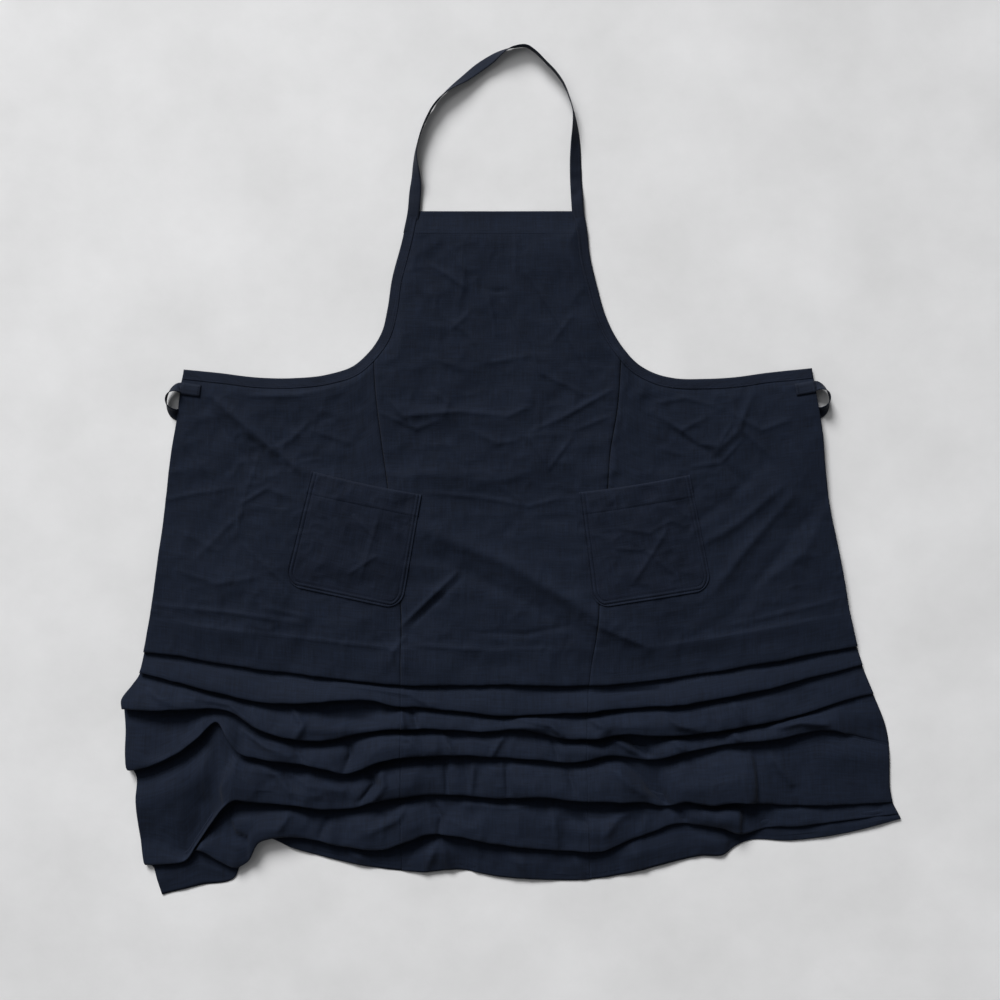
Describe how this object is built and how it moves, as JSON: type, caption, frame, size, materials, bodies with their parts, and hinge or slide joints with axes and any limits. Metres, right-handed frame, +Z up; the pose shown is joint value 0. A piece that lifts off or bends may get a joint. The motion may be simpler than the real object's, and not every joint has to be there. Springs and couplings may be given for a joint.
{
  "type": "artist smock apron",
  "caption": "Full-length cloth smock apron with neck strap, side loops, curved bound armholes and patch pockets, laid flat with its skirt gathered into flat pleats.",
  "frame": {"origin": "on the surface the apron lies on, in the middle of its footprint", "axes": "+Z up out of the front of the cloth, +Y along the apron towards the bib and neck strap, +X across it, to the right as seen from the front"},
  "size_m": [1.1696, 1.2714, 0.0202],
  "materials": {
    "panel_cloth": "washed plain-weave navy cotton-linen, matt",
    "binding_cloth": "the same navy cloth cut as a folded binding, matt",
    "pocket_cloth": "the same washed navy cloth, matt",
    "strap_tape": "the same navy cloth folded and stitched into tape, matt",
    "thread": "dark navy sewing thread, slight sheen"
  },
  "bodies": {
    "apron": {"centre_panel": "panel_cloth", "side_panel_left": "panel_cloth", "side_panel_right": "panel_cloth", "bib_facing": "panel_cloth", "armhole_binding_left": "binding_cloth", "armhole_binding_right": "binding_cloth", "pocket_left": "pocket_cloth", "pocket_right": "pocket_cloth", "neck_strap_end_left": "strap_tape", "neck_strap_end_right": "strap_tape", "side_loop_front_end_left": "strap_tape", "side_loop_front_end_right": "strap_tape", "side_loop_back_end_left": "strap_tape", "side_loop_back_end_right": "strap_tape", "bib_stitching": "thread", "binding_stitching_left": "thread", "binding_stitching_right": "thread", "seam_stitching_left": "thread", "seam_stitching_right": "thread", "pocket_stitching_left": "thread", "pocket_stitching_right": "thread", "pocket_hem_stitching_left": "thread", "pocket_hem_stitching_right": "thread", "neck_strap_stitching_left": "thread", "neck_strap_stitching_right": "thread", "side_loop_stitching_left": "thread", "side_loop_stitching_right": "thread", "hem_stitching": "thread"},
    "neck_loop": {"neck_strap": "strap_tape"},
    "loop_left": {"side_loop_left": "strap_tape"},
    "loop_right": {"side_loop_right": "strap_tape"}
  },
  "joints": [
    {"name": "neck_strap_swing", "type": "hinge", "parent": "apron", "child": "neck_loop", "pos_m": [-0.0227, 0.39275, 0.0041], "axis": [1, 0, 0], "range_deg": [-90, 140]},
    {"name": "side_loop_left_swing", "type": "hinge", "parent": "apron", "child": "loop_left", "pos_m": [-0.50109, 0.10327, 0.00185], "axis": [0.138, 0.9904, 0], "range_deg": [-80, 45]},
    {"name": "side_loop_right_swing", "type": "hinge", "parent": "apron", "child": "loop_right", "pos_m": [0.46223, 0.10585, 0.00185], "axis": [-0.1409, 0.99, 0], "range_deg": [-45, 80]}
  ]
}
